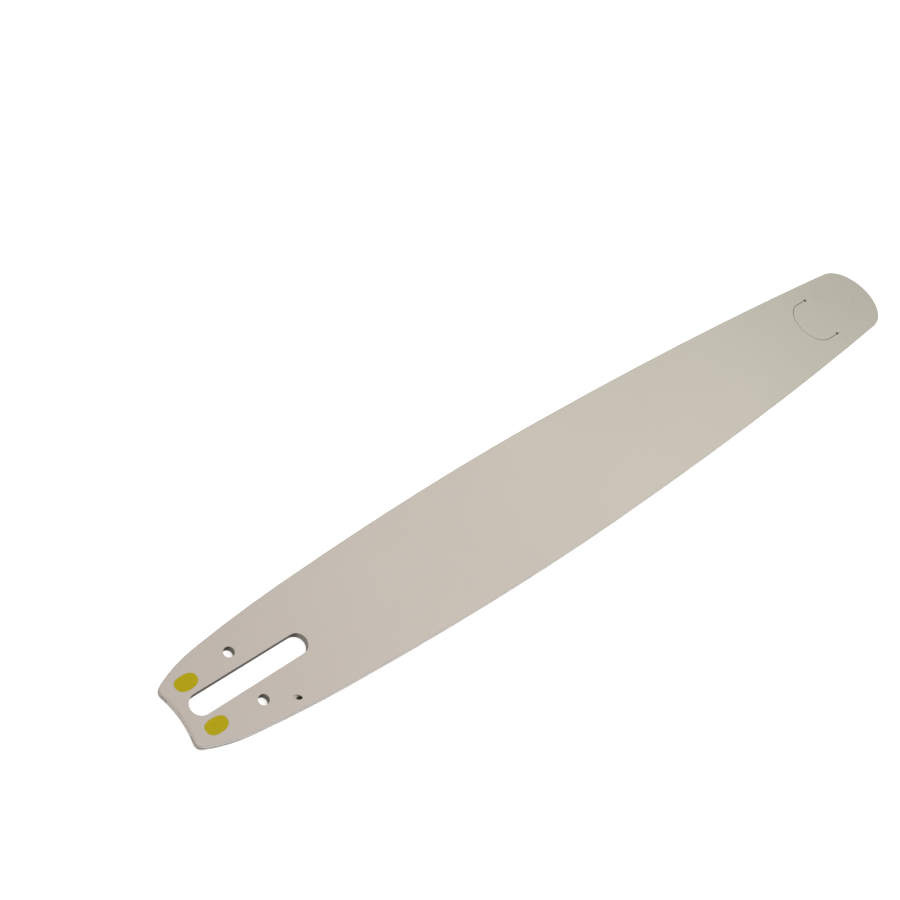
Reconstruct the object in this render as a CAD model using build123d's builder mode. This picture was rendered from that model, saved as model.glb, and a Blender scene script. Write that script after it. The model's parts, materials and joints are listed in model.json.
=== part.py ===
from build123d import *
from math import acos, asin, cos, degrees, floor, pi, radians, sin, sqrt, tan
import os

# Chainsaw guide bar: a solid steel plate with a chain groove in its edge, a clamping slot at
# the tail and a riveted sprocket nose. The bar lies flat. +X runs from the tail to the nose,
# +Z is the plate's normal, and the origin is the middle of the footprint on the lower face.

os.makedirs("parts", exist_ok=True)

# Plate, all in millimetres; a flare is the widening of each side over the run before it
bar_length = 700.0
bar_thickness = 4.7
tail_width = 38.2
tail_corner_radius = 4.5
tail_hollow = 1.8
ramp_run = 25.6
ramp_flare = 6.55
shoulder_run = 58.0
shoulder_flare = 6.65
belly_run = 220.4
belly_flare = 8.6
nose_radius = 30.0
edge_break = 0.35

# Chain groove, open along both edges
chain_gauge = 1.6
groove_depth = 7.0

# Clamping end, measured from the tail
slot_start = 7.2
slot_length = 71.2
slot_width = 12.0
tensioner_station = 40.0
tensioner_spacing = 29.7
tensioner_diameter = 5.9

# Oil feed: a slanted hole in each face opens into a pocket under the groove, with an insert in it
oil_station = 55.0
oil_hole_diameter = 2.6
oil_hole_inset = 6.5
oil_hole_tilt = 62.0
oil_hole_turn = 32.0
pocket_length = 32.0
pocket_depth = 5.5
pocket_lead = 14.0
pocket_end_run = 2.5
dam_end_clearance = 0.4
dam_side_clearance = 0.05
dam_block_length = 5.5
dam_block_height = 3.5
dam_strip_height = 1.6

# Nose sprocket and its roller bearing
tooth_count = 11
tooth_stand = 0.4
tooth_land = 0.8
gullet_radius = 4.0
gullet_depth = 8.7
race_radius = 11.0
roller_diameter = 5.0
roller_spacing = 0.12
running_clearance = 0.05
side_clearance = 0.1

# Nose plates: a tongue with a round end is let into the body, and the rest butts against it
tongue_width = 37.2
tongue_straight = 15.2
tongue_gap = 0.45
butt_gap = 0.08
butt_lean = 4.0
relief_diameter = 2.5
relief_setback = 2.8
web_reach = 13.0
web_clearance = 1.0

# Rivets, flush with both faces
rivet_diameter = 3.4
rivet_clearance = 0.05
bearing_rivet_count = 6
bearing_rivet_circle = 15.0
tongue_rivet_inset = 7.2
front_rivet_edge = 4.0
front_rivet_inset = 2.3

# How far cutting profiles run past the surface that they cut through
overrun = 2.0

# Levels through the thickness: lower rail, groove, upper rail
rail_thickness = (bar_thickness - chain_gauge) / 2
upper_rail_level = bar_thickness - rail_thickness
mid_level = bar_thickness / 2

# Plan of the upper half: circles that meet tangentially from the nose tip to the tail
tail_x = -bar_length / 2
nose_tip = Vector(bar_length / 2, 0)
nose_centre = Vector(bar_length / 2 - nose_radius, 0)
corner_centre = Vector(tail_x + tail_corner_radius, tail_width / 2 - tail_corner_radius)
ramp = Vector(tail_x + ramp_run, tail_width / 2 + ramp_flare)
shoulder = ramp + Vector(shoulder_run, shoulder_flare)
belly = shoulder + Vector(belly_run, belly_flare)

# Front rail: level at the belly, tangent to the nose circle
front_run = nose_centre.X - belly.X
front_drop = belly.Y - nose_radius
front_radius = (front_run**2 + belly.Y**2 - nose_radius**2) / (2 * front_drop)
front_centre = belly - Vector(0, front_radius)
nose_join = front_centre + (nose_centre - front_centre).normalized() * front_radius

# Rear rail: level at the belly, through the shoulder
rear_radius = (belly_run**2 + belly_flare**2) / (2 * belly_flare)
rear_centre = belly - Vector(0, rear_radius)

# Mount rail: tangent to the rear rail at the shoulder, through the end of the ramp
shoulder_inward = (rear_centre - shoulder).normalized()
mount_chord = ramp - shoulder
mount_radius = mount_chord.dot(mount_chord) / (2 * mount_chord.dot(shoulder_inward))
mount_centre = shoulder + shoulder_inward * mount_radius

# Ramp: tangent to the mount rail at its end, and to the circle of the tail corner
ramp_inward = (mount_centre - ramp).normalized()
corner_to_ramp = ramp - corner_centre
ramp_square = corner_to_ramp.dot(corner_to_ramp) - tail_corner_radius**2
ramp_radius = -ramp_square / (2 * (corner_to_ramp.dot(ramp_inward) + tail_corner_radius))
ramp_centre = ramp + ramp_inward * ramp_radius
corner_join = ramp_centre + (corner_centre - ramp_centre).normalized() * ramp_radius

# Tail end: a shallow hollow between the two corners
hollow_reach = (corner_centre.Y**2 + tail_hollow**2) / (2 * tail_hollow)
hollow_radius = hollow_reach - tail_corner_radius
hollow_centre = Vector(tail_x + tail_hollow - hollow_radius, 0)
hollow_join = hollow_centre + (corner_centre - hollow_centre).normalized() * hollow_radius
hollow_middle = Vector(tail_x + tail_hollow, 0)

# Nose: bearing, sprocket and seam, all measured back from the nose circle's centre
nose_plane = Plane(origin=(nose_centre.X, 0, mid_level))
roller_circle = race_radius + running_clearance + roller_diameter / 2
roller_count = floor(pi / asin((roller_diameter + roller_spacing) / (2 * roller_circle)))
roller_length = chain_gauge - 2 * side_clearance
sprocket_bore = roller_circle + roller_diameter / 2 + running_clearance
sprocket_tip = nose_radius + tooth_stand
sprocket_thickness = chain_gauge - 2 * side_clearance
gullet_circle = sprocket_tip - gullet_depth + gullet_radius
web_front = sprocket_tip + web_clearance
seam_x = nose_centre.X - web_front - web_reach
tongue_side = tongue_width / 2
tongue_centre = Vector(seam_x - tongue_straight, 0)

# Relief holes on the seam, just behind its corners
relief_places = [(seam_x - relief_setback, tongue_side), (seam_x - relief_setback, -tongue_side)]

# Rivets of the tongue: one near its round end, then one ahead of each corner of the seam
front_rivet_y = tongue_side - front_rivet_inset
front_rivet_x = nose_centre.X - sqrt((web_front + front_rivet_edge) ** 2 - front_rivet_y**2)
nose_rivet_places = [
    (tongue_centre.X - tongue_side + tongue_rivet_inset, 0),
    (front_rivet_x, front_rivet_y),
    (front_rivet_x, -front_rivet_y),
]

# Rivets of the bearing: a ring round the nose circle's centre
bearing_rivet_arm = Vector(bearing_rivet_circle / 2, 0)
bearing_rivet_places = [
    nose_centre + bearing_rivet_arm.rotate(Axis.Z, 360 * index / bearing_rivet_count)
    for index in range(bearing_rivet_count)
]


def arc(centre, start, end):
    """Arc round a centre, the short way from start to end."""
    middle = ((start + end) * 0.5 - centre).normalized()
    ThreePointArc(start, centre + middle * (start - centre).length, end)


def inset(point, centre, depth):
    """Point moved from the bar's edge towards the centre of its arc."""
    return point + (centre - point).normalized() * depth


def rail(depth):
    """Upper edge from the nose tip to the end of the ramp, set in from the bar's edge by a depth."""
    tip = nose_tip - Vector(depth, 0)
    nose_end = inset(nose_join, nose_centre, depth)
    widest = inset(belly, front_centre, depth)
    shoulder_end = inset(shoulder, rear_centre, depth)
    ramp_end = inset(ramp, mount_centre, depth)
    arc(nose_centre, tip, nose_end)
    arc(front_centre, nose_end, widest)
    arc(rear_centre, widest, shoulder_end)
    arc(mount_centre, shoulder_end, ramp_end)


def nose_plan(side_gap, end_gap):
    """Plan of the nose: its round-ended tongue and all that lies ahead of the leaning butt line."""
    side = tongue_side + side_gap
    lean = tan(radians(butt_lean))
    outer = belly.Y + overrun
    tongue_end = tongue_centre - Vector(side, 0)
    tongue_edge = tongue_centre + Vector(0, side)
    corner = Vector(seam_x + end_gap + side_gap * lean, side)
    butt_end = Vector(seam_x + end_gap + (outer - tongue_side) * lean, outer)
    front = nose_tip.X + overrun
    with BuildSketch() as plan:
        with BuildLine():
            arc(tongue_centre, tongue_end, tongue_edge)
            Polyline(tongue_edge, corner, butt_end, (front, outer), (front, 0))
            mirror(about=Plane.XZ)
        make_face()
    return plan.sketch


def rivet_plan(places, clearance):
    """Section of a group of rivets, larger all round by a clearance."""
    with BuildSketch() as plan:
        with Locations(*places):
            Circle(rivet_diameter / 2 + clearance)
    return plan.sketch


def oil_plane(side):
    """Plane on the groove's floor at the oil hole, X along the rail, Y outwards, Z from the oil hole."""
    x = tail_x + oil_station
    floor_radius = mount_radius - groove_depth
    y = mount_centre.Y + sqrt(floor_radius**2 - (x - mount_centre.X) ** 2)
    outward = (Vector(x, y) - mount_centre).normalized()
    return Plane(
        origin=(x, side * y, mid_level),
        x_dir=(outward.Y, -side * outward.X, 0),
        z_dir=(0, 0, side),
    )


# Shared plans
with BuildSketch() as outline:
    with BuildLine():
        rail(0)
        arc(ramp_centre, ramp, corner_join)
        arc(corner_centre, corner_join, hollow_join)
        arc(hollow_centre, hollow_join, hollow_middle)
        mirror(about=Plane.XZ)
    make_face()

with BuildSketch() as groove_floor:
    floor_end_x = tail_x - overrun
    floor_end_radius = ramp_radius - groove_depth
    floor_end_y = ramp_centre.Y + sqrt(floor_end_radius**2 - (floor_end_x - ramp_centre.X) ** 2)
    floor_end = Vector(floor_end_x, floor_end_y)
    with BuildLine():
        rail(groove_depth)
        arc(ramp_centre, inset(ramp, ramp_centre, groove_depth), floor_end)
        Line(floor_end, (floor_end_x, 0))
        mirror(about=Plane.XZ)
    make_face()

with BuildSketch() as nose_recess:
    add(nose_plan(tongue_gap, 0))
    with Locations(*relief_places):
        Circle(relief_diameter / 2)

bearing_rivet_holes = rivet_plan(bearing_rivet_places, rivet_clearance)
nose_rivet_holes = rivet_plan(nose_rivet_places, rivet_clearance)

with BuildSketch() as nose_shape:
    add(nose_plan(0, butt_gap))
    with Locations(*relief_places):
        Circle(relief_diameter / 2, mode=Mode.SUBTRACT)
    add(bearing_rivet_holes, mode=Mode.SUBTRACT)
    add(nose_rivet_holes, mode=Mode.SUBTRACT)

# Blank: the whole plan with broken edges, from which the body and the nose plates are taken
with BuildPart() as blank:
    with BuildSketch():
        add(outline.sketch)
    extrude(amount=bar_thickness)
    chamfer(faces().filter_by(Axis.Z).edges(), length=edge_break)

# Bar body: slot and holes, then the groove, the nose recesses and the oil feed
with BuildPart() as bar_body:
    add(blank.part)
    with BuildSketch():
        with Locations((tail_x + slot_start + slot_length / 2, 0)):
            SlotOverall(slot_length, slot_width)
        with Locations((tail_x + tensioner_station, 0)):
            with GridLocations(0, tensioner_spacing, 1, 2):
                Circle(tensioner_diameter / 2)
    extrude(amount=bar_thickness, mode=Mode.SUBTRACT)

    with BuildSketch(Plane.XY.offset(rail_thickness)):
        Rectangle(bar_length + 4 * overrun, 2 * belly.Y + 4 * overrun)
        add(groove_floor.sketch, mode=Mode.SUBTRACT)
        with Locations((nose_centre.X, 0)):
            Circle(web_front)
    extrude(amount=chain_gauge, mode=Mode.SUBTRACT)

    with BuildSketch():
        add(nose_recess.sketch)
    extrude(amount=rail_thickness, mode=Mode.SUBTRACT)
    with BuildSketch(Plane.XY.offset(upper_rail_level)):
        add(nose_recess.sketch)
    extrude(amount=rail_thickness, mode=Mode.SUBTRACT)

    with BuildSketch():
        add(nose_rivet_holes)
    extrude(amount=bar_thickness, mode=Mode.SUBTRACT)

    for side in (1, -1):
        feed = oil_plane(side)
        pocket_back = -pocket_lead
        pocket_front = pocket_length - pocket_lead
        with BuildSketch(feed):
            with BuildLine():
                Polyline(
                    (pocket_back, overrun),
                    (pocket_back, 0),
                    (pocket_back + pocket_end_run, -pocket_depth),
                    (pocket_front - pocket_end_run, -pocket_depth),
                    (pocket_front, 0),
                    (pocket_front, overrun),
                    close=True,
                )
            make_face()
        extrude(amount=chain_gauge / 2, both=True, mode=Mode.SUBTRACT)

        tilt = radians(oil_hole_tilt)
        turn = radians(oil_hole_turn)
        slant = feed.x_dir * cos(turn) * sin(tilt) + feed.y_dir * sin(turn) * sin(tilt)
        slant = slant + feed.z_dir * cos(tilt)
        hole_radius = oil_hole_diameter / 2
        with BuildSketch(feed.offset(-bar_thickness / 2)):
            with Locations((0, groove_depth - oil_hole_inset)):
                Ellipse(hole_radius / cos(tilt), hole_radius, rotation=oil_hole_turn)
        hole_depth = rail_thickness + chain_gauge / 2
        extrude(amount=hole_depth / cos(tilt), dir=slant, mode=Mode.SUBTRACT)
bar_body.part.label = "bar_body"
export_step(bar_body.part, "parts/bar_body.step")

# Nose plates: the forward end of the blank, one rail thick, flush with each face
for plate_name, plate_level in (("nose_plate_bottom", 0), ("nose_plate_top", upper_rail_level)):
    with BuildPart() as nose_plate:
        add(blank.part)
        with BuildSketch(Plane.XY.offset(plate_level)):
            add(nose_shape.sketch)
        extrude(amount=rail_thickness, mode=Mode.INTERSECT)
    nose_plate.part.label = plate_name
    export_step(nose_plate.part, f"parts/{plate_name}.step")

# Sprocket: pointed teeth, with flanks from a narrow land to the round bottom of each gullet
with BuildSketch() as gullet:
    land_angle = pi / tooth_count - asin(tooth_land / (2 * sprocket_tip))
    land_corner = Vector(cos(land_angle), sin(land_angle)) * sprocket_tip - Vector(gullet_circle, 0)
    flank_turn = degrees(acos(gullet_radius / land_corner.length))
    flank_start = land_corner.normalized().rotate(Axis.Z, flank_turn) * gullet_radius
    mouth = land_corner + (land_corner - flank_start).normalized() * overrun
    with BuildLine():
        arc(Vector(0, 0), Vector(-gullet_radius, 0), flank_start)
        Polyline(flank_start, mouth, (mouth.X, 0))
        mirror(about=Plane.XZ)
    make_face()

with BuildPart() as nose_sprocket:
    with BuildSketch(nose_plane):
        Circle(sprocket_tip)
        with PolarLocations(gullet_circle, tooth_count):
            add(gullet.sketch, mode=Mode.SUBTRACT)
        Circle(sprocket_bore, mode=Mode.SUBTRACT)
    extrude(amount=sprocket_thickness / 2, both=True)
nose_sprocket.part.label = "nose_sprocket"
export_step(nose_sprocket.part, "parts/nose_sprocket.step")

# Fixed inner race, clamped between the plates by the bearing rivets
with BuildPart() as bearing_race:
    with BuildSketch(Plane.XY.offset(rail_thickness)):
        with Locations(nose_centre):
            Circle(race_radius)
        add(bearing_rivet_holes, mode=Mode.SUBTRACT)
    extrude(amount=chain_gauge)
bearing_race.part.label = "bearing_race"
export_step(bearing_race.part, "parts/bearing_race.step")

# Rollers: as many as fit round the race
for index in range(roller_count):
    roller_name = f"roller_{index + 1:02d}"
    angle = 2 * pi * index / roller_count
    with BuildPart() as roller:
        with BuildSketch(nose_plane):
            with Locations((roller_circle * cos(angle), roller_circle * sin(angle))):
                Circle(roller_diameter / 2)
        extrude(amount=roller_length / 2, both=True)
    roller.part.label = roller_name
    export_step(roller.part, f"parts/{roller_name}.step")

# Rivets through the race, and rivets through the web, ground flush with both plates
for rivets_name, places in (("bearing_rivets", bearing_rivet_places), ("nose_rivets", nose_rivet_places)):
    with BuildPart() as rivets:
        with BuildSketch():
            add(rivet_plan(places, 0))
        extrude(amount=bar_thickness)
    rivets.part.label = rivets_name
    export_step(rivets.part, f"parts/{rivets_name}.step")

# Oil dams: a strip with a block at each end, seated on the floor of each pocket
for dam_name, side in (("oil_dam_left", 1), ("oil_dam_right", -1)):
    with BuildPart() as oil_dam:
        dam_floor = -pocket_depth
        dam_back = pocket_end_run + dam_end_clearance - pocket_lead
        dam_front = pocket_length - pocket_lead - pocket_end_run - dam_end_clearance
        with BuildSketch(oil_plane(side)):
            with BuildLine():
                Polyline(
                    (dam_back, dam_floor),
                    (dam_front, dam_floor),
                    (dam_front, dam_floor + dam_block_height),
                    (dam_front - dam_block_length, dam_floor + dam_block_height),
                    (dam_front - dam_block_length, dam_floor + dam_strip_height),
                    (dam_back + dam_block_length, dam_floor + dam_strip_height),
                    (dam_back + dam_block_length, dam_floor + dam_block_height),
                    (dam_back, dam_floor + dam_block_height),
                    close=True,
                )
            make_face()
        extrude(amount=chain_gauge / 2 - dam_side_clearance, both=True)
    oil_dam.part.label = dam_name
    export_step(oil_dam.part, f"parts/{dam_name}.step")
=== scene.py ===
# %% [markdown]
# # A chainsaw guide bar, dressed for the studio
#
# The bar is one long steel plate with a slot at its tail and a round nose. The nose is a
# separate assembly: two side plates, let into the bar along a tongue-shaped seam, with a
# toothed wheel on rollers between them. All of that is already modelled as solids, at its real
# size, and arrives here as a fixed frame. This lesson gives each surface its finish, adds the
# two dabs of marking paint, and sets up the floor, the light and the camera.

# %% Load the solids
import json
import math

import bpy
import numpy as np
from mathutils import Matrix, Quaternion, Vector


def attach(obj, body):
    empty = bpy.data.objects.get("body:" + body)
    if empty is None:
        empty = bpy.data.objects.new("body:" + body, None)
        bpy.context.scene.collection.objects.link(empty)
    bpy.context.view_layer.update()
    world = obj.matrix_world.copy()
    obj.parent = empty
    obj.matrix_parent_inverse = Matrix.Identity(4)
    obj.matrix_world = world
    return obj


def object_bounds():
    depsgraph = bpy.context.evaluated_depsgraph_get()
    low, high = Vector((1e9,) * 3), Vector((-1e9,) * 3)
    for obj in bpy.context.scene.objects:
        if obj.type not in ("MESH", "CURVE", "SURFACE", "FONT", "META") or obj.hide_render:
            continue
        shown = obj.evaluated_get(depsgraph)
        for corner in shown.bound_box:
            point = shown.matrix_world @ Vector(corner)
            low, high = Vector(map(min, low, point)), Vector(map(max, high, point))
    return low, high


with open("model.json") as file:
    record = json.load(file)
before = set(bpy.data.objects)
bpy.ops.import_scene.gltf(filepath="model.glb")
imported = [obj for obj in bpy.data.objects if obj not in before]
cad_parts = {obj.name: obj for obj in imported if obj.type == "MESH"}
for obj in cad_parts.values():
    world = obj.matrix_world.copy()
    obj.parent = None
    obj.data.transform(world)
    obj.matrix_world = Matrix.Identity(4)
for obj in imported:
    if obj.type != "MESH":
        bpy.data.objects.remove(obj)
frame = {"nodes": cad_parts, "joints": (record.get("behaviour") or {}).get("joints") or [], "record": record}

cad_low, cad_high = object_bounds()
record = frame["record"]

# %% [markdown]
# ## Places that the finishes refer to
#
# Every finish below is painted by position on the plate, so it needs a few landmarks: the top
# face, the middle of the thickness, the slot, a mount hole and the axis of the nose wheel. They
# could be typed in as numbers, but a changed solid would then slip out from under its paint. So
# they are read from the frame, and the looks follow the solids if a size changes.

# %% Landmarks
MM = 0.001
mounts = {mount["name"]: Vector(mount["pos_m"]) for mount in record["mounts"]}
joints = {joint["name"]: joint for joint in frame["joints"]}
top_level = cad_high.z
mid_level = (cad_low.z + cad_high.z) / 2
tail_x = cad_low.x
nose_axis = Vector(joints["sprocket_spin"]["pos_m"])
slot_low, slot_high = (Vector(corner) for corner in record["physics"]["openings"][0]["box_m"])
tensioner_hole = mounts["tensioner_hole_left"]
print("top face at", round(top_level / MM, 2), "mm; nose axis at", round(nose_axis.x / MM, 2), "mm")

# %% [markdown]
# ## Small helpers for shader nodes
#
# A material is a graph of nodes, and most lines that build one are the same few moves: make a
# node, feed a socket with a number or with another node's output, do a bit of arithmetic, or go
# from one value to another by a mask. A short function for each move keeps the finishes readable.


# %% Node helpers
def feed(tree, socket, value):
    """Links a socket to another node's output, or sets it to a plain value."""
    if isinstance(value, bpy.types.NodeSocket):
        tree.links.new(value, socket)
    else:
        socket.default_value = value


def node(tree, kind, settings=(), **inputs):
    """Adds a node, sets its properties from (name, value) pairs, and feeds its inputs by name."""
    made = tree.nodes.new(kind)
    for name, value in settings:
        setattr(made, name, value)
    for name, value in inputs.items():
        feed(tree, made.inputs[name], value)
    return made


def calc(tree, operation, *terms):
    """One step of arithmetic on numbers or outputs; gives the result's output."""
    made = node(tree, "ShaderNodeMath", [("operation", operation)])
    for socket, term in zip(made.inputs, terms):
        feed(tree, socket, term)
    return made.outputs[0]


def ramp(tree, value, low, high, start=0.0, end=1.0):
    """Smooth step: start below low, end above high."""
    made = node(tree, "ShaderNodeMapRange", [("interpolation_type", "SMOOTHSTEP")])
    for socket, term in zip(made.inputs, (value, low, high, start, end)):
        feed(tree, socket, term)
    return made.outputs[0]


def mix(tree, mask, under, over, kind="RGBA"):
    """Colour, or number with kind FLOAT, that goes from under to over as the mask goes from 0 to 1."""
    made = node(tree, "ShaderNodeMix", [("data_type", kind)])
    live_inputs = [socket for socket in made.inputs if socket.enabled]
    for socket, term in zip(live_inputs, (mask, under, over)):
        feed(tree, socket, term)
    return next(socket for socket in made.outputs if socket.enabled)


print("helpers:", [helper.__name__ for helper in (feed, node, calc, ramp, mix)])

# %% [markdown]
# ## Effects that the finishes share
#
# Grain and slow drifts of tone turn up in every finish, and both the plate and the nose wheel ask
# which way a surface faces. Those nodes could be written out again in each material, but then a
# change would have to be made in all of them. So each effect, edge wear among them, is built once
# as a node group with named sockets, and a finish places it with its own values. A group only
# hands out numbers and colours; the shader itself stays in the material, where an exporter can
# read it.

# %% Start a node group
NUMBER = "NodeSocketFloat"
VECTOR = "NodeSocketVector"
COLOUR = "NodeSocketColor"


def new_group(name, inputs, outputs):
    """Empty shader group with (name, socket type) inputs and outputs; gives tree, input and output."""
    tree = bpy.data.node_groups.new(name, "ShaderNodeTree")
    for label, kind in inputs:
        tree.interface.new_socket(name=label, in_out="INPUT", socket_type=kind)
    for label, kind in outputs:
        tree.interface.new_socket(name=label, in_out="OUTPUT", socket_type=kind)
    return tree, tree.nodes.new("NodeGroupInput"), tree.nodes.new("NodeGroupOutput")


def place(tree, group, **inputs):
    """Puts a group into a material and feeds its named inputs."""
    return node(tree, "ShaderNodeGroup", [("node_tree", group)], **inputs)


def sized_noise(tree, spot, size, detail, roughness=0.5):
    """Noise whose lumps have about a given size in metres; gives a number around one half."""
    scale = calc(tree, "DIVIDE", 1.0, size)
    made = node(tree, "ShaderNodeTexNoise", Vector=spot, Scale=scale, Detail=detail, Roughness=roughness)
    return made.outputs[0]


print("socket types:", NUMBER, VECTOR, COLOUR)

# %% Grain
grain_detail = 3.0
grain_roughness = 0.6
grain_low = 0.3
grain_high = 0.7


def grain_group():
    """Noise of a given size, drawn out by a stretch vector, as a number from 0 to 1."""
    tree, given, result = new_group(
        "fine grain",
        [("Place", VECTOR), ("Stretch", VECTOR), ("Size", NUMBER)],
        [("Grain", NUMBER)],
    )
    drawn = node(tree, "ShaderNodeVectorMath", [("operation", "MULTIPLY")])
    feed(tree, drawn.inputs[0], given.outputs["Place"])
    feed(tree, drawn.inputs[1], given.outputs["Stretch"])
    noise = sized_noise(tree, drawn.outputs[0], given.outputs["Size"], grain_detail, grain_roughness)
    feed(tree, result.inputs["Grain"], ramp(tree, noise, grain_low, grain_high))
    return tree


fine_grain = grain_group()


def grain(tree, spot, size, stretch=(1, 1, 1)):
    """Places the grain; a stretch below 1 draws it out along that axis."""
    return place(tree, fine_grain, Place=spot, Stretch=stretch, Size=size).outputs["Grain"]


print("group:", fine_grain.name)

# %% Tone drift
drift_detail = 2.0


def drift_group():
    """A colour made lighter and darker by a slow noise: colour times 1 plus or minus the amount."""
    tree, given, result = new_group(
        "tone drift",
        [("Colour", COLOUR), ("Place", VECTOR), ("Size", NUMBER), ("Amount", NUMBER)],
        [("Colour", COLOUR)],
    )
    noise = sized_noise(tree, given.outputs["Place"], given.outputs["Size"], drift_detail)
    swing = calc(tree, "MULTIPLY_ADD", noise, 2.0, -1.0)
    gain = calc(tree, "MULTIPLY_ADD", swing, given.outputs["Amount"], 1.0)
    scaled = node(tree, "ShaderNodeVectorMath", [("operation", "SCALE")], Scale=gain)
    feed(tree, scaled.inputs[0], given.outputs["Colour"])
    feed(tree, result.inputs["Colour"], scaled.outputs[0])
    return tree


tone_drift = drift_group()


def drift(tree, colour, spot, size, amount):
    """Places the tone drift on a colour."""
    return place(tree, tone_drift, Colour=colour, Place=spot, Size=size, Amount=amount).outputs["Colour"]


print("group:", tone_drift.name)

# %% Facing
flat_from, flat_to = 0.88, 0.96
slope_from, slope_to = 0.2, 0.4
across_from, across_to = 0.55, 0.95


def facing_group():
    """Masks from the surface normal: flat lying faces, sloping edge breaks, and walls across the bar."""
    tree, given, result = new_group(
        "facing",
        [("Normal", VECTOR)],
        [("Flat", NUMBER), ("Slope", NUMBER), ("Across", NUMBER)],
    )
    parts = node(tree, "ShaderNodeSeparateXYZ", Vector=given.outputs["Normal"]).outputs
    upright = calc(tree, "ABSOLUTE", parts["Z"])
    sideways = calc(tree, "ABSOLUTE", parts["Y"])
    flat = ramp(tree, upright, flat_from, flat_to)
    rising = ramp(tree, upright, slope_from, slope_to)
    feed(tree, result.inputs["Flat"], flat)
    feed(tree, result.inputs["Slope"], calc(tree, "SUBTRACT", rising, flat))
    feed(tree, result.inputs["Across"], ramp(tree, sideways, across_from, across_to))
    return tree


facing = facing_group()


def facing_masks(tree):
    """Places the facing masks on the piece's own normal; gives them by name."""
    normal = node(tree, "ShaderNodeTexCoord").outputs["Normal"]
    return place(tree, facing, Normal=normal).outputs


print("group:", facing.name)

# %% Edge wear
wear_detail = 4.0
wear_threshold = 0.8
wear_lowering = 0.6
wear_softness = 0.15


def wear_group():
    """Broken-up mask along an edge: noise beats a threshold that falls as the amount grows."""
    tree, given, result = new_group(
        "edge wear",
        [("Edge", NUMBER), ("Place", VECTOR), ("Size", NUMBER), ("Amount", NUMBER)],
        [("Wear", NUMBER)],
    )
    noise = sized_noise(tree, given.outputs["Place"], given.outputs["Size"], wear_detail)
    lowered = calc(tree, "MULTIPLY", given.outputs["Amount"], wear_lowering)
    threshold = calc(tree, "SUBTRACT", wear_threshold, lowered)
    broken = ramp(tree, noise, threshold, calc(tree, "ADD", threshold, wear_softness))
    feed(tree, result.inputs["Wear"], calc(tree, "MULTIPLY", broken, given.outputs["Edge"]))
    return tree


edge_wear = wear_group()
print("group:", edge_wear.name)

# %% [markdown]
# ## A place to build each finish
#
# A new material starts with its Principled BSDF and the object's own coordinates. Object
# coordinates are metres in the frame of the solids, so a grain of 0.3 mm is written as 0.3 mm,
# and the pattern travels with the piece when the nose wheel turns. Coordinates stretched over the
# box of each piece would be the default, but they would change the grain from piece to piece.


# %% Start a finish
def new_finish(name):
    """Material with an empty Principled BSDF; gives material, tree, shader and place vector."""
    material = bpy.data.materials.new(name)
    material.use_nodes = True
    tree = material.node_tree
    shader = tree.nodes["Principled BSDF"]
    spot = node(tree, "ShaderNodeTexCoord").outputs["Object"]
    return material, tree, shader, spot


def bump(tree, shader, height, depth):
    """Gives the shader a bump whose full height is a real depth in metres."""
    raised = node(tree, "ShaderNodeBump", Strength=1.0, Distance=depth, Height=height)
    feed(tree, shader.inputs["Normal"], raised.outputs["Normal"])


print("helpers:", new_finish.__name__, bump.__name__)

# %% [markdown]
# ## The plate: satin paint over ground steel
#
# On the real bar the two wide faces carry a thin satin silver-grey paint, and the slot and the
# holes keep the skin of the cut. That skin comes in a lit and a shaded copy: painted shade makes
# it darkest along the long walls, and painted light brightens the walls that face along the bar.
# The photograph hardly shows the edges, so they follow other such bars: rails ground bare after
# painting, with fine grinding lines and a little wear at the edge breaks, and a milled groove
# between them. The pale, matt steel of the groove and the paint on the tail's end are guesses,
# chosen because darker ones draw lines round the edges that the photograph lacks; the groove's
# pale tone is partly painted light that lifts the shade inside it. The faces could be split up
# and given one material each, but paint, wear and steel run into each other along every edge. So
# one material does all of it: the face masks say where the paint is, boxes round the cut-outs say
# where the skin is, and the distance from the middle of the thickness says where the groove is.

# %% Where the cuts are
cut_margin = 4.0 * MM
cut_half_width = 26.0 * MM
slot_tail_margin = 8.0 * MM
slot_nose_margin = 12.0 * MM
oil_hole_station = 55.0 * MM
seam_back = 80.0 * MM
seam_front = 40.0 * MM


def box_mask(tree, axes, low_x, high_x, half_width):
    """1 inside a box that lies across the bar's centre line, else 0."""
    above = calc(tree, "GREATER_THAN", axes["X"], low_x)
    below = calc(tree, "LESS_THAN", axes["X"], high_x)
    near = calc(tree, "LESS_THAN", calc(tree, "ABSOLUTE", axes["Y"]), half_width)
    return calc(tree, "MULTIPLY", calc(tree, "MULTIPLY", above, below), near)


def cut_masks(tree, axes):
    """Two masks: 1 round the oil holes; 1 there and round the slot, its holes and the nose seam."""
    hole_side = tensioner_hole.y + cut_margin
    clamp_low, clamp_high = slot_low.x - slot_tail_margin, slot_high.x + slot_nose_margin
    clamp = box_mask(tree, axes, clamp_low, clamp_high, hole_side)
    oil_hole_x = tail_x + oil_hole_station
    oil_low, oil_high = oil_hole_x - cut_margin, oil_hole_x + cut_margin
    oil_band = box_mask(tree, axes, oil_low, oil_high, cut_half_width)
    oil = calc(tree, "SUBTRACT", oil_band, box_mask(tree, axes, oil_low, oil_high, hole_side))
    seam = box_mask(tree, axes, nose_axis.x - seam_back, nose_axis.x - seam_front, cut_half_width)
    return oil, calc(tree, "MAXIMUM", calc(tree, "MAXIMUM", clamp, oil), seam)


print("oil holes", oil_hole_station / MM, "mm from the tail")

# %% Where the groove is
groove_half_height = 0.85 * MM


def off_middle(tree, axes):
    """Distance of a point from the middle of the plate's thickness."""
    return calc(tree, "ABSOLUTE", calc(tree, "SUBTRACT", axes["Z"], mid_level))


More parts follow.
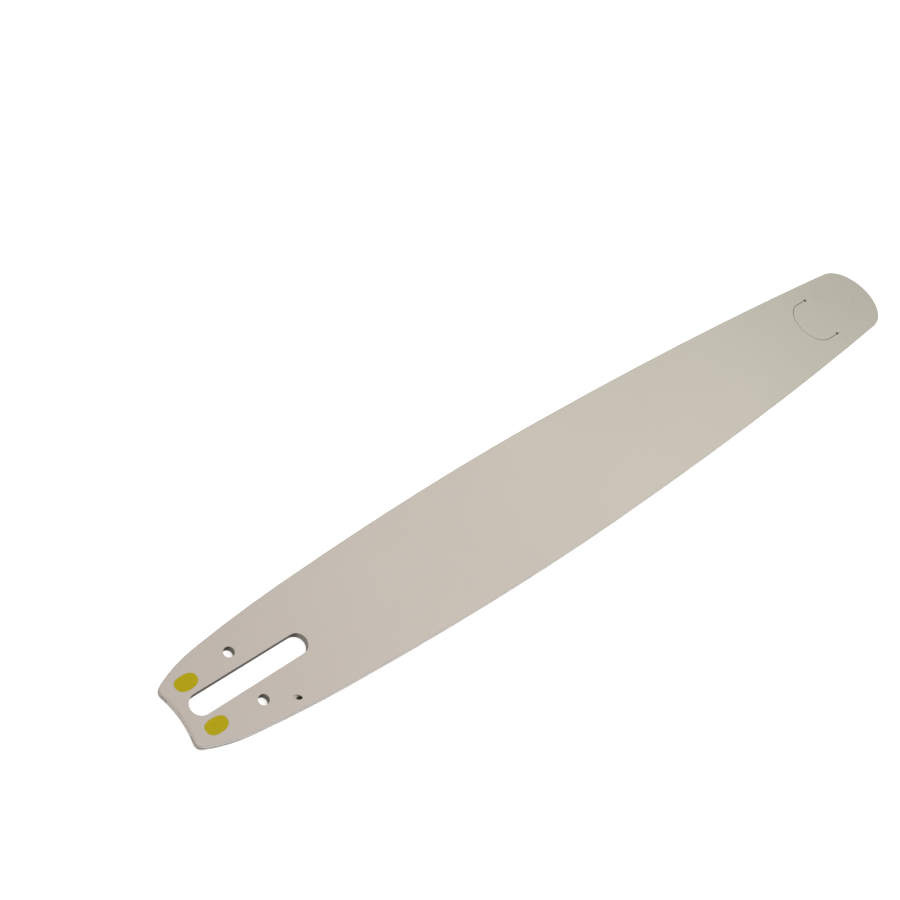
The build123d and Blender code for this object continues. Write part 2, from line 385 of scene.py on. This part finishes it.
def groove_mask(tree, axes):
    """1 at the levels between the two rails, where the chain groove is, else 0."""
    return calc(tree, "LESS_THAN", off_middle(tree, axes), groove_half_height)


print("groove within", groove_half_height / MM, "mm of the middle")

# %% Where the paint is
paint_depth = 0.5 * MM
oil_hole_paint_depth = 1.3 * MM
tail_paint_reach = 12.0 * MM
wear_size = 3.0 * MM
wear_amount = 0.25


def paint_mask(tree, spot, axes, faces, oil):
    """1 near the two outer levels, deeper in the oil holes, and on the tail's end; less the worn edges."""
    from_face = calc(tree, "SUBTRACT", top_level - mid_level, off_middle(tree, axes))
    outer = calc(tree, "LESS_THAN", from_face, mix(tree, oil, paint_depth, oil_hole_paint_depth, "FLOAT"))
    lying = calc(tree, "ADD", faces["Flat"], faces["Slope"])
    face_coat = calc(tree, "MULTIPLY", lying, outer)
    end_wall = calc(tree, "SUBTRACT", calc(tree, "SUBTRACT", 1.0, lying), faces["Across"])
    at_tail = calc(tree, "LESS_THAN", axes["X"], tail_x + tail_paint_reach)
    coat = calc(tree, "MAXIMUM", face_coat, calc(tree, "MULTIPLY", end_wall, at_tail))
    edge = calc(tree, "MULTIPLY", faces["Slope"], outer)
    worn = place(tree, edge_wear, Edge=edge, Place=spot, Size=wear_size, Amount=wear_amount)
    return calc(tree, "SUBTRACT", coat, worn.outputs["Wear"])


print("paint wraps", paint_depth / MM, "mm over each edge")

# %% Colours of paint and steel
paint_tail = (0.592, 0.527, 0.47, 1.0)
paint_nose = (0.562, 0.538, 0.455, 1.0)
paint_drifts = ((90.0 * MM, 0.03), (0.4 * MM, 0.08))
rail_steel = (0.48, 0.47, 0.45, 1.0)
# Groove steel paler than the rails, partly as painted light that lifts the shade inside the deep groove
groove_steel_and_painted_light = (0.7, 0.68, 0.65, 1.0)
# Lit and shaded copies of the cut's skin: painted light on walls facing along the bar, painted shade on the
# long walls
lit_end_skin = (0.28, 0.255, 0.21, 1.0)
shaded_side_skin = (0.075, 0.063, 0.052, 1.0)
steel_drift_size = 6.0 * MM
steel_drift = 0.25


def paint_colour(tree, spot, axes):
    """Paint that goes from one tone at the tail to another at the nose, with a slow and a fine drift."""
    paint = mix(tree, ramp(tree, axes["X"], tail_x, nose_axis.x), paint_tail, paint_nose)
    for size, amount in paint_drifts:
        paint = drift(tree, paint, spot, size, amount)
    return paint


def steel_colour_with_painted_light(tree, spot, faces, oil, cut, groove):
    """Ground rails, a groove made paler partly as painted light, and the skin of the cuts in a lit and a
    shaded copy: painted shade makes it darkest on walls along the bar.
    """
    # Painted light: the groove gets the paler tone to lift its shade
    bare = mix(tree, groove, rail_steel, groove_steel_and_painted_light)
    # Painted shade: the long walls get the shaded copy of the skin, the other walls and the oil holes the
    # lit copy
    skin = mix(tree, calc(tree, "SUBTRACT", faces["Across"], oil), lit_end_skin, shaded_side_skin)
    return drift(tree, mix(tree, cut, bare, skin), spot, steel_drift_size, steel_drift)


print("paint", paint_tail[:3], "to", paint_nose[:3])

# %% Plate finish
speckle_size = 0.35 * MM
smear_size = 18.0 * MM
smear_stretch = (0.4, 1, 1)
line_size = 0.25 * MM
line_stretch = (0.03, 0.6, 1)
rail_metallic, dull_metallic = 0.95, 0.3
rail_roughness, dull_roughness = 0.34, 0.6
paint_roughness = 0.41
speckle_roughness = 0.06
smear_roughness = 0.08
plate_specular = 0.15
plate_relief = 0.006 * MM


def plate_finish():
    """Paint on the outer faces, worn at the edge breaks; elsewhere bare rails, a matt groove lightened
    partly by painted light, and dark cuts whose long walls carry painted shade.
    """
    material, tree, shader, spot = new_finish("plate_finish")
    axes = node(tree, "ShaderNodeSeparateXYZ", Vector=spot).outputs
    faces = facing_masks(tree)
    oil, cut = cut_masks(tree, axes)
    groove = groove_mask(tree, axes)
    painted = paint_mask(tree, spot, axes, faces, oil)
    # The steel colour carries painted light in the groove and painted shade on the long walls of the cuts
    steel = steel_colour_with_painted_light(tree, spot, faces, oil, cut, groove)
    feed(tree, shader.inputs["Base Color"], mix(tree, painted, steel, paint_colour(tree, spot, axes)))

    bare = calc(tree, "SUBTRACT", 1.0, painted)
    dull = calc(tree, "MAXIMUM", cut, groove)
    steel_metallic = mix(tree, dull, rail_metallic, dull_metallic, "FLOAT")
    feed(tree, shader.inputs["Metallic"], calc(tree, "MULTIPLY", bare, steel_metallic))

    # Fine speckle of the paint, faint smears of handling on it, and grinding lines of the steel
    speckle = grain(tree, spot, speckle_size)
    smears = grain(tree, spot, smear_size, smear_stretch)
    lines = grain(tree, spot, line_size, line_stretch)
    steel_rough = mix(tree, dull, rail_roughness, dull_roughness, "FLOAT")
    paint_rough = calc(tree, "MULTIPLY_ADD", speckle, speckle_roughness, paint_roughness)
    paint_rough = calc(tree, "MULTIPLY_ADD", smears, smear_roughness, paint_rough)
    feed(tree, shader.inputs["Roughness"], mix(tree, painted, steel_rough, paint_rough, "FLOAT"))
    shader.inputs["Specular IOR Level"].default_value = plate_specular
    bump(tree, shader, mix(tree, painted, lines, speckle, "FLOAT"), plate_relief)
    return material


plate = plate_finish()
print("plate finish:", len(plate.node_tree.nodes), "nodes")

# %% [markdown]
# ## The nose wheel: hardened steel under oil
#
# The sprocket, its rollers and the race they run on are hardened steel, dark and smooth, with a
# film of oil. Turned and lapped parts carry fine rings round their axis. Rings could be drawn with
# a wave texture, but that is too even for a tool mark. So the same grain as elsewhere is read at
# the distance from the nose axis instead of at the place itself, which bends it into rings.

# %% Bearing steel
bearing_tone = (0.3, 0.29, 0.275, 1.0)
bearing_drift_size = 5.0 * MM
bearing_drift = 0.2
wall_roughness, face_roughness = 0.24, 0.36
ring_size = 0.2 * MM
ring_relief = 0.004 * MM
oil_film = 0.3
oil_film_roughness = 0.1


def ring_spot(tree, spot):
    """Place vector whose X is the distance from the nose axis: the root of x squared plus y squared."""
    from_axis = node(tree, "ShaderNodeVectorMath", [("operation", "SUBTRACT")])
    feed(tree, from_axis.inputs[0], spot)
    feed(tree, from_axis.inputs[1], nose_axis)
    arms = node(tree, "ShaderNodeSeparateXYZ", Vector=from_axis.outputs[0]).outputs
    square = calc(tree, "ADD", calc(tree, "POWER", arms["X"], 2.0), calc(tree, "POWER", arms["Y"], 2.0))
    radius = calc(tree, "SQRT", square)
    return node(tree, "ShaderNodeCombineXYZ", X=radius, Z=arms["Z"]).outputs[0]


def bearing_finish():
    """Oiled hardened steel with fine rings round the nose axis and a slow drift of tone."""
    material, tree, shader, spot = new_finish("bearing_steel")
    tone = drift(tree, bearing_tone, spot, bearing_drift_size, bearing_drift)
    feed(tree, shader.inputs["Base Color"], tone)
    flat = facing_masks(tree)["Flat"]
    feed(tree, shader.inputs["Roughness"], mix(tree, flat, wall_roughness, face_roughness, "FLOAT"))
    shader.inputs["Metallic"].default_value = 1.0
    shader.inputs["Coat Weight"].default_value = oil_film
    shader.inputs["Coat Roughness"].default_value = oil_film_roughness
    bump(tree, shader, grain(tree, ring_spot(tree, spot), ring_size), ring_relief)
    return material


bearing = bearing_finish()
print("bearing steel:", len(bearing.node_tree.nodes), "nodes")

# %% [markdown]
# ## The oil inserts: sintered metal
#
# The small dams in the oil pockets are pressed and sintered, so they are dull and full of fine
# pores. Pores could be cells of a Voronoi texture, but sintered pores run together. A grain that
# darkens the colour, roughens it and dents the surface says that in a few nodes.

# %% Sintered metal
sinter_tone = (0.26, 0.25, 0.24, 1.0)
pore_tone = (0.12, 0.115, 0.11, 1.0)
sinter_drift_size = 4.0 * MM
sinter_drift = 0.1
sinter_roughness, pore_roughness = 0.6, 0.75
sinter_metallic = 0.8
pore_size = 0.18 * MM
pore_depth = 0.02 * MM


def sinter_finish():
    """Dull porous metal: grain goes from pore to metal in colour, roughness and height."""
    material, tree, shader, spot = new_finish("sintered_metal")
    solid_part = grain(tree, spot, pore_size)
    tone = mix(tree, solid_part, pore_tone, sinter_tone)
    feed(tree, shader.inputs["Base Color"], drift(tree, tone, spot, sinter_drift_size, sinter_drift))
    rough = mix(tree, solid_part, pore_roughness, sinter_roughness, "FLOAT")
    feed(tree, shader.inputs["Roughness"], rough)
    shader.inputs["Metallic"].default_value = sinter_metallic
    bump(tree, shader, solid_part, pore_depth)
    return material


sinter = sinter_finish()
print("sintered metal:", len(sinter.node_tree.nodes), "nodes")

# %% [markdown]
# ## Dressing the solids
#
# Each solid names its material slot in the record, so a small table from slot to finish dresses
# them all. Naming the solids one by one would work too, but it would have to grow with every
# roller. The solids themselves are never moved or changed.

# %% Assign the finishes
finish_of_slot = {"painted_plate": plate, "hardened_steel": bearing, "sintered_insert": sinter}
for subpart in record["subparts"]:
    solid = frame["nodes"][subpart["node"]]
    solid.data.materials.clear()
    solid.data.materials.append(finish_of_slot[subpart["material_slot"]])
print("dressed", len(record["subparts"]), "solids")

# %% [markdown]
# ## The yellow marks
#
# Two dabs of yellow marking paint sit beside the slot at the tail. Each is a thin film, a little
# longer than wide, pressed on with the same blunt marker: nearly straight sides, round ends and a
# soft raised rim. A patch of yellow in the plate's own material would do for the colour, but it
# would have no thickness and no edge to catch the light. So each dab is a closed shell worked out
# on a grid: one parameter runs from the middle of the top over the edge to the middle of the
# underside, the other runs round the outline.

# %% Outline of a dab
mark_length = 12.1 * MM
mark_width = 8.45 * MM
outline_power = 0.83
oval_wobble = 0.02
corner_wobble = 0.015
wobble_turn = 1.0


def dab_outline(angles):
    """Superellipse round the dab: cosine and sine raised to a power below 1, with a slight wobble."""
    oval = oval_wobble * np.cos(2 * angles + wobble_turn)
    corner = corner_wobble * np.cos(3 * angles - wobble_turn)
    swell = 1 + oval + corner
    x = np.sign(np.cos(angles)) * np.abs(np.cos(angles)) ** outline_power * mark_length / 2 * swell
    y = np.sign(np.sin(angles)) * np.abs(np.sin(angles)) ** outline_power * mark_width / 2 * swell
    return x, y


print("dab", mark_length / MM, "by", mark_width / MM, "mm")

# %% Shell of a dab
mark_film = 0.05 * MM
rim_power = 10


def dab_shell(centre, rings=24, around=96):
    """Rings from the top's middle to the edge and back under; height is the film times 1 minus reach^10."""
    angles = np.linspace(0, 2 * math.pi, around, endpoint=False)
    x, y = dab_outline(angles)
    reach = np.sin(np.linspace(0, math.pi / 2, rings + 1)[1:])
    top = np.stack([np.outer(reach, x), np.outer(reach, y), np.zeros((rings, around))], axis=-1)
    top[..., 2] = (mark_film * (1 - reach**rim_power))[:, None]
    under = top[-2::-1].copy()
    under[..., 2] = 0.0
    rows = np.concatenate([top, under]) + np.array(centre)
    poles = np.array(centre) + np.array([[0, 0, mark_film], [0, 0, 0]])
    return rows, poles


print("film", mark_film / MM, "mm thick")


# %% From rings to a mesh
def ring_quads(index):
    """Quads between neighbouring rings of point numbers, closed round each ring."""
    beside = np.roll(index, -1, axis=1)
    return np.stack([index[:-1], index[1:], beside[1:], beside[:-1]], axis=-1).reshape(-1, 4)


def closed_mesh(name, rows, poles):
    """Mesh from rings of points with a pole at each end: quads between rings, fans at the poles."""
    count, around = rows.shape[:2]
    points = np.concatenate([poles[:1], rows.reshape(-1, 3), poles[1:]])
    index = 1 + np.arange(count * around).reshape(count, around)
    beside = np.roll(index, -1, axis=1)
    first = np.stack([np.zeros(around, int), index[0], beside[0]], axis=-1)
    last = np.stack([np.full(around, len(points) - 1), beside[-1], index[-1]], axis=-1)
    mesh = bpy.data.meshes.new(name)
    mesh.from_pydata(points.tolist(), [], ring_quads(index).tolist() + first.tolist() + last.tolist())
    mesh.polygons.foreach_set("use_smooth", np.ones(len(mesh.polygons), bool))
    piece = bpy.data.objects.new(name, mesh)
    bpy.context.scene.collection.objects.link(piece)
    return piece


print("helpers:", ring_quads.__name__, closed_mesh.__name__)

# %% Marking paint
mark_yellow = (0.51, 0.41, 0.006, 1.0)
mark_drift_size = 5.0 * MM
mark_drift = 0.06
streak_size = 0.5 * MM
streak_stretch = (0.25, 1, 1)
smooth_roughness, streak_roughness = 0.5, 0.6
mark_specular = 0.05
streak_relief = 0.008 * MM


def marking_finish():
    """Opaque yellow paint with a fine brushed grain and a slow drift of tone."""
    material, tree, shader, spot = new_finish("marking_paint")
    tone = drift(tree, mark_yellow, spot, mark_drift_size, mark_drift)
    feed(tree, shader.inputs["Base Color"], tone)
    streaks = grain(tree, spot, streak_size, streak_stretch)
    rough = mix(tree, streaks, smooth_roughness, streak_roughness, "FLOAT")
    feed(tree, shader.inputs["Roughness"], rough)
    shader.inputs["Specular IOR Level"].default_value = mark_specular
    bump(tree, shader, streaks, streak_relief)
    return material


marking = marking_finish()
print("marking paint:", len(marking.node_tree.nodes), "nodes")

# %% Lay both dabs on the plate
mark_station = 13.15 * MM
mark_spacing = 25.7 * MM

for side_name, side in (("left", 1), ("right", -1)):
    mark_centre = (tail_x + mark_station, side * mark_spacing / 2, top_level)
    mark = closed_mesh(f"yellow_mark_{side_name}", *dab_shell(mark_centre))
    mark.data.materials.append(marking)
    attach(mark, "bar")
    print(mark.name, len(mark.data.polygons), "faces")

# %% [markdown]
# ## Floor and light
#
# The bar lies on a plain pale floor. More light would turn the floor white, but it would bleach
# the paint as well. So, for the camera and for what metal reflects, the floor is lifted to white
# by a little extra glow, which grows outwards where the lamps reach less; every other ray sees
# plain pale paint, so the bar is not lit from below and its thin shadow stays. Three lights make
# the look: the dim white room all round, a softbox over the middle of the bar, so that both ends
# fall off a little, and a low window behind the tail, which lights the round end of the slot and
# leaves its long walls dark. Those long walls are darker still from painted shade in the skin's
# colour. The window casts light but no glint, so the paint keeps its colour when the bar is seen
# against it.

# %% Floor
floor_radius = 6.0
floor_drop = 0.05 * MM


def floor_disc(rings=24, around=96):
    """Flat disc: radius grows with the square of the ring, so that the middle is fine."""
    angles = np.linspace(0, 2 * math.pi, around, endpoint=False)
    radii = floor_radius * np.linspace(0, 1, rings + 1)[1:] ** 2
    rows = np.stack([np.outer(radii, np.cos(angles)), np.outer(radii, np.sin(angles))], axis=-1)
    level = np.full((rings * around, 1), cad_low.z - floor_drop)
    points = np.concatenate([rows.reshape(-1, 2), level], axis=1)
    index = np.arange(rings * around).reshape(rings, around)
    mesh = bpy.data.meshes.new("floor")
    mesh.from_pydata(points.tolist(), [], ring_quads(index).tolist() + [index[0].tolist()])
    return bpy.data.objects.new("floor", mesh)


floor = floor_disc()
bpy.context.scene.collection.objects.link(floor)
print("floor radius", floor_radius, "m")

# %% Floor finish
white = (1.0, 1.0, 1.0, 1.0)
floor_paint = (0.7, 0.7, 0.7, 1.0)
floor_roughness = 0.9
glow_near, glow_far = 0.72, 0.9
glow_start, glow_end = 0.25, 0.9


def seen_directly(tree):
    """1 for camera, glossy and transmission rays, else 0."""
    rays = node(tree, "ShaderNodeLightPath").outputs
    seen = calc(tree, "ADD", rays["Is Camera Ray"], rays["Is Glossy Ray"])
    return calc(tree, "MINIMUM", calc(tree, "ADD", seen, rays["Is Transmission Ray"]), 1.0)


def floor_finish():
    """Plain pale paint, with a glow for direct rays that grows with the distance from the middle."""
    material, tree, shader, spot = new_finish("pale_floor")
    shader.inputs["Base Color"].default_value = floor_paint
    shader.inputs["Roughness"].default_value = floor_roughness
    shader.inputs["Specular IOR Level"].default_value = 0.0
    shader.inputs["Emission Color"].default_value = white
    outwards = node(tree, "ShaderNodeVectorMath", [("operation", "LENGTH")])
    feed(tree, outwards.inputs[0], spot)
    glow = ramp(tree, outwards.outputs["Value"], glow_start, glow_end, glow_near, glow_far)
    feed(tree, shader.inputs["Emission Strength"], calc(tree, "MULTIPLY", seen_directly(tree), glow))
    return material


floor.data.materials.append(floor_finish())
print("floor glow", glow_near, "to", glow_far)

# %% Room light
room_level = 0.2
world = bpy.data.worlds.new("white_room")
world.use_nodes = True
bpy.context.scene.world = world
room_tree = world.node_tree
room = room_tree.nodes["Background"]
room.inputs["Color"].default_value = white
room_strength = mix(room_tree, seen_directly(room_tree), room_level, 1.0, "FLOAT")
feed(room_tree, room.inputs["Strength"], room_strength)
print("room level", room_level)

# %% Softbox and window
softbox_place = Vector((0.01, -0.08, 0.75))
softbox_aim = Vector((softbox_place.x, softbox_place.y, 0.0))
softbox_width = 0.45
softbox_power = 4.45
window_place = Vector((-2.2, -0.1, 0.8))
window_aim = Vector((-0.2, 0.0, 0.0))
window_width = 1.2
window_power = 15.0


def area_lamp(name, place_point, aim_point, width, power):
    """Square soft lamp that faces a point."""
    lamp = bpy.data.lights.new(name, "AREA")
    lamp.size = width
    lamp.energy = power
    holder = bpy.data.objects.new(name, lamp)
    holder.location = place_point
    holder.rotation_euler = (aim_point - place_point).to_track_quat("-Z", "Y").to_euler()
    bpy.context.scene.collection.objects.link(holder)
    return holder


area_lamp("softbox", softbox_place, softbox_aim, softbox_width, softbox_power)
window = area_lamp("window", window_place, window_aim, window_width, window_power)
window.visible_glossy = False
print("softbox", softbox_power, "W, window", window_power, "W")

# %% [markdown]
# ## Camera
#
# The picture is taken from above the tail, looking along the bar, with the camera rolled so that
# the bar climbs from lower left to upper right. Three rotation angles could say that, but nobody
# can picture them. A place, a point to look at and a roll describe it plainly: the camera first
# turns to the point with its top towards the sky, then rolls.

# %% Camera
camera_place = Vector((-0.54384, -0.11574, 0.51941))
camera_aim = Vector((-0.11713, 0.05207, top_level))
camera_roll = math.radians(33.59)
camera_lens = 45.2
camera_sensor = 36.0

camera_data = bpy.data.cameras.new("camera")
camera_data.lens = camera_lens
camera_data.sensor_width = camera_sensor
camera = bpy.data.objects.new("camera", camera_data)
upright_turn = (camera_aim - camera_place).to_track_quat("-Z", "Y")
camera.location = camera_place
camera.rotation_mode = "QUATERNION"
camera.rotation_quaternion = upright_turn @ Quaternion((0, 0, 1), camera_roll)
bpy.context.scene.collection.objects.link(camera)
bpy.context.scene.camera = camera
bpy.context.scene.view_settings.view_transform = "Standard"
print("camera at", tuple(round(value, 4) for value in camera_place))

# %% [markdown]
# ## A last update of the scene
#
# The dressed bar must stay inside the box of the solids, apart from the film of paint. The scene
# is updated once more at the end.

# %% Update the scene
bpy.context.view_layer.update()
